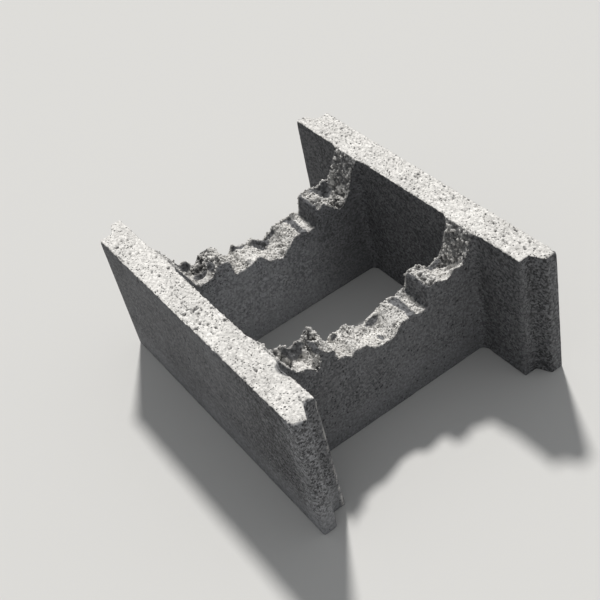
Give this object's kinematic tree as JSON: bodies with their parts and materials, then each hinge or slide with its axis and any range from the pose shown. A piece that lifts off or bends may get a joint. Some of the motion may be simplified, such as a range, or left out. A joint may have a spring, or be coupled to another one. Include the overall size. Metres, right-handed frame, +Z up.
{
  "type": "permanent formwork block",
  "caption": "Hollow concrete block of side walls and cross webs, open top and bottom, with lapped ends and seats for bars in its webs, stacked dry and filled with concrete.",
  "frame": {"origin": "middle of the bed face, at the block's overall centre in plan", "axes": "+X along the side walls, towards the end whose tongues are on the outer faces; +Y across the block; +Z up"},
  "size_m": [0.5, 0.4, 0.2],
  "materials": {
    "concrete": "pressed dry-mix concrete, open-grained and pitted, rough on the tops of the walls and webs"
  },
  "bodies": {
    "root": {"formwork_block": "concrete"}
  },
  "joints": []
}
